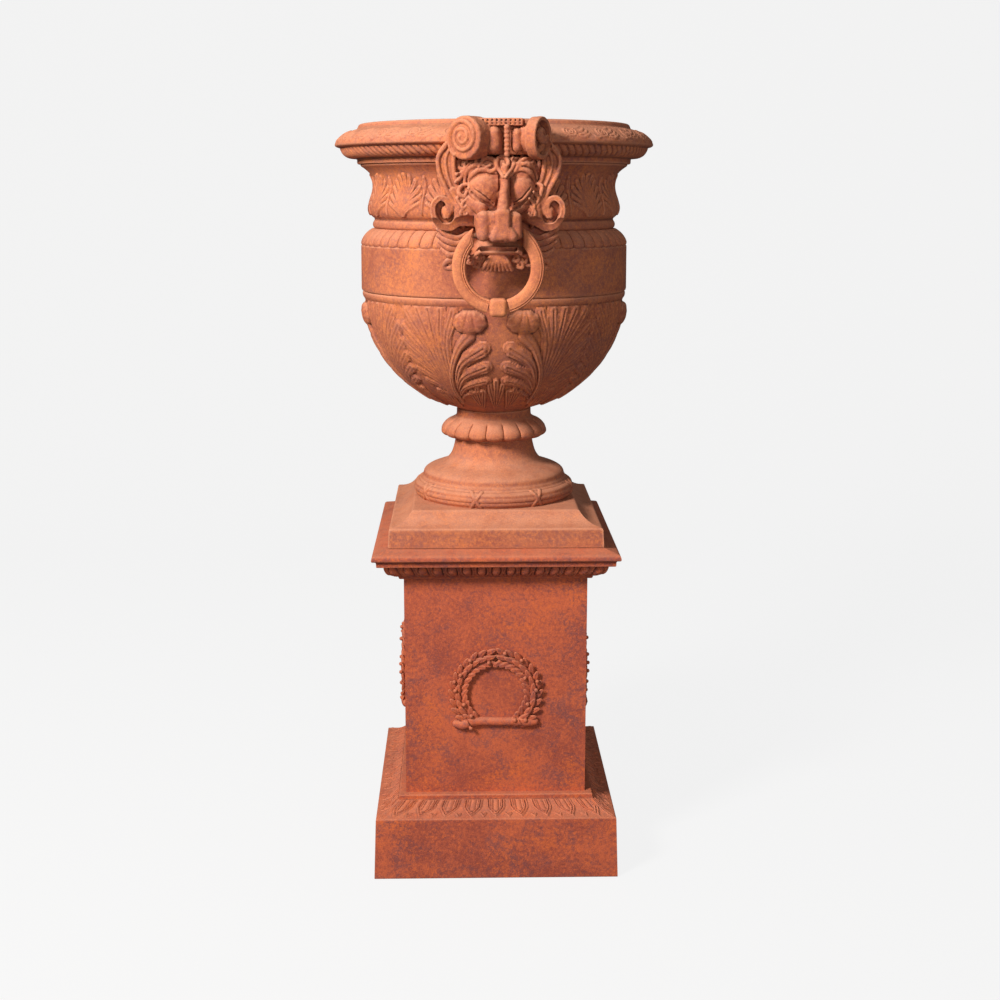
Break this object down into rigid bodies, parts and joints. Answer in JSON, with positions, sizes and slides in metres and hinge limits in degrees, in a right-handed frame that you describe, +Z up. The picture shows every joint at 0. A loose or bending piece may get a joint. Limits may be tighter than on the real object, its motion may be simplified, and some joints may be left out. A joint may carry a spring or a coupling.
{
  "type": "cast-iron pedestal urn",
  "caption": "Rusted cast-iron campana garden urn with lion-mask handles and drop rings, on a square pedestal with laurel wreaths and moulded plinth and cap.",
  "frame": {"origin": "middle of the pedestal's footprint, on the ground", "axes": "+Z up, the two lion masks look along -Y (front) and +Y (back), +X to the right seen from the front"},
  "size_m": [0.669, 0.804, 1.574],
  "materials": {
    "urn_iron": "rusted, dusty matt",
    "pedestal_iron": "rusted matt, darker and redder",
    "ring_iron": "rusted matt, rubbed at the pivots",
    "frame_steel": "rusted rolled steel",
    "fastener_steel": "rusted steel"
  },
  "bodies": {
    "urn_and_pedestal": {"anchor_bar": "frame_steel", "base_block": "urn_iron", "belt_shoulder": "urn_iron", "bowl": "urn_iron", "cap_casting": "pedestal_iron", "corner_angle_back_left": "frame_steel", "corner_angle_back_right": "frame_steel", "corner_angle_front_left": "frame_steel", "corner_angle_front_right": "frame_steel", "corner_screws": "fastener_steel", "dado_panel_back": "pedestal_iron", "dado_panel_front": "pedestal_iron", "dado_panel_left": "pedestal_iron", "dado_panel_right": "pedestal_iron", "foot_stem": "urn_iron", "gadroon_collar": "urn_iron", "lion_mask_back": "urn_iron", "lion_mask_front": "urn_iron", "mask_bolts_back": "fastener_steel", "mask_bolts_front": "fastener_steel", "neck": "urn_iron", "plinth_casting": "pedestal_iron", "rim": "urn_iron", "rim_bolts": "fastener_steel", "seam_bolts": "fastener_steel", "shoulder_bolts": "fastener_steel", "tie_nut_lower": "fastener_steel", "tie_nut_upper": "fastener_steel", "tie_rod": "fastener_steel", "tie_washer_lower": "fastener_steel", "tie_washer_upper": "fastener_steel", "wreath_back": "pedestal_iron", "wreath_front": "pedestal_iron", "wreath_left": "pedestal_iron", "wreath_right": "pedestal_iron", "wreath_rivets_back": "fastener_steel", "wreath_rivets_front": "fastener_steel", "wreath_rivets_left": "fastener_steel", "wreath_rivets_right": "fastener_steel"},
    "front_ring": {"ring_arm_left_front": "ring_iron", "ring_arm_right_front": "ring_iron", "ring_knob_front": "ring_iron", "ring_pin_front": "fastener_steel"},
    "back_ring": {"ring_arm_left_back": "ring_iron", "ring_arm_right_back": "ring_iron", "ring_knob_back": "ring_iron", "ring_pin_back": "fastener_steel"}
  },
  "joints": [
    {"name": "front_ring_swing", "type": "hinge", "parent": "urn_and_pedestal", "child": "front_ring", "pos_m": [0, -0.3635, 1.356], "axis": [-1, 0, 0], "range_deg": [-8, 75]},
    {"name": "back_ring_swing", "type": "hinge", "parent": "urn_and_pedestal", "child": "back_ring", "pos_m": [0, 0.3635, 1.356], "axis": [1, 0, 0], "range_deg": [-8, 75]}
  ]
}
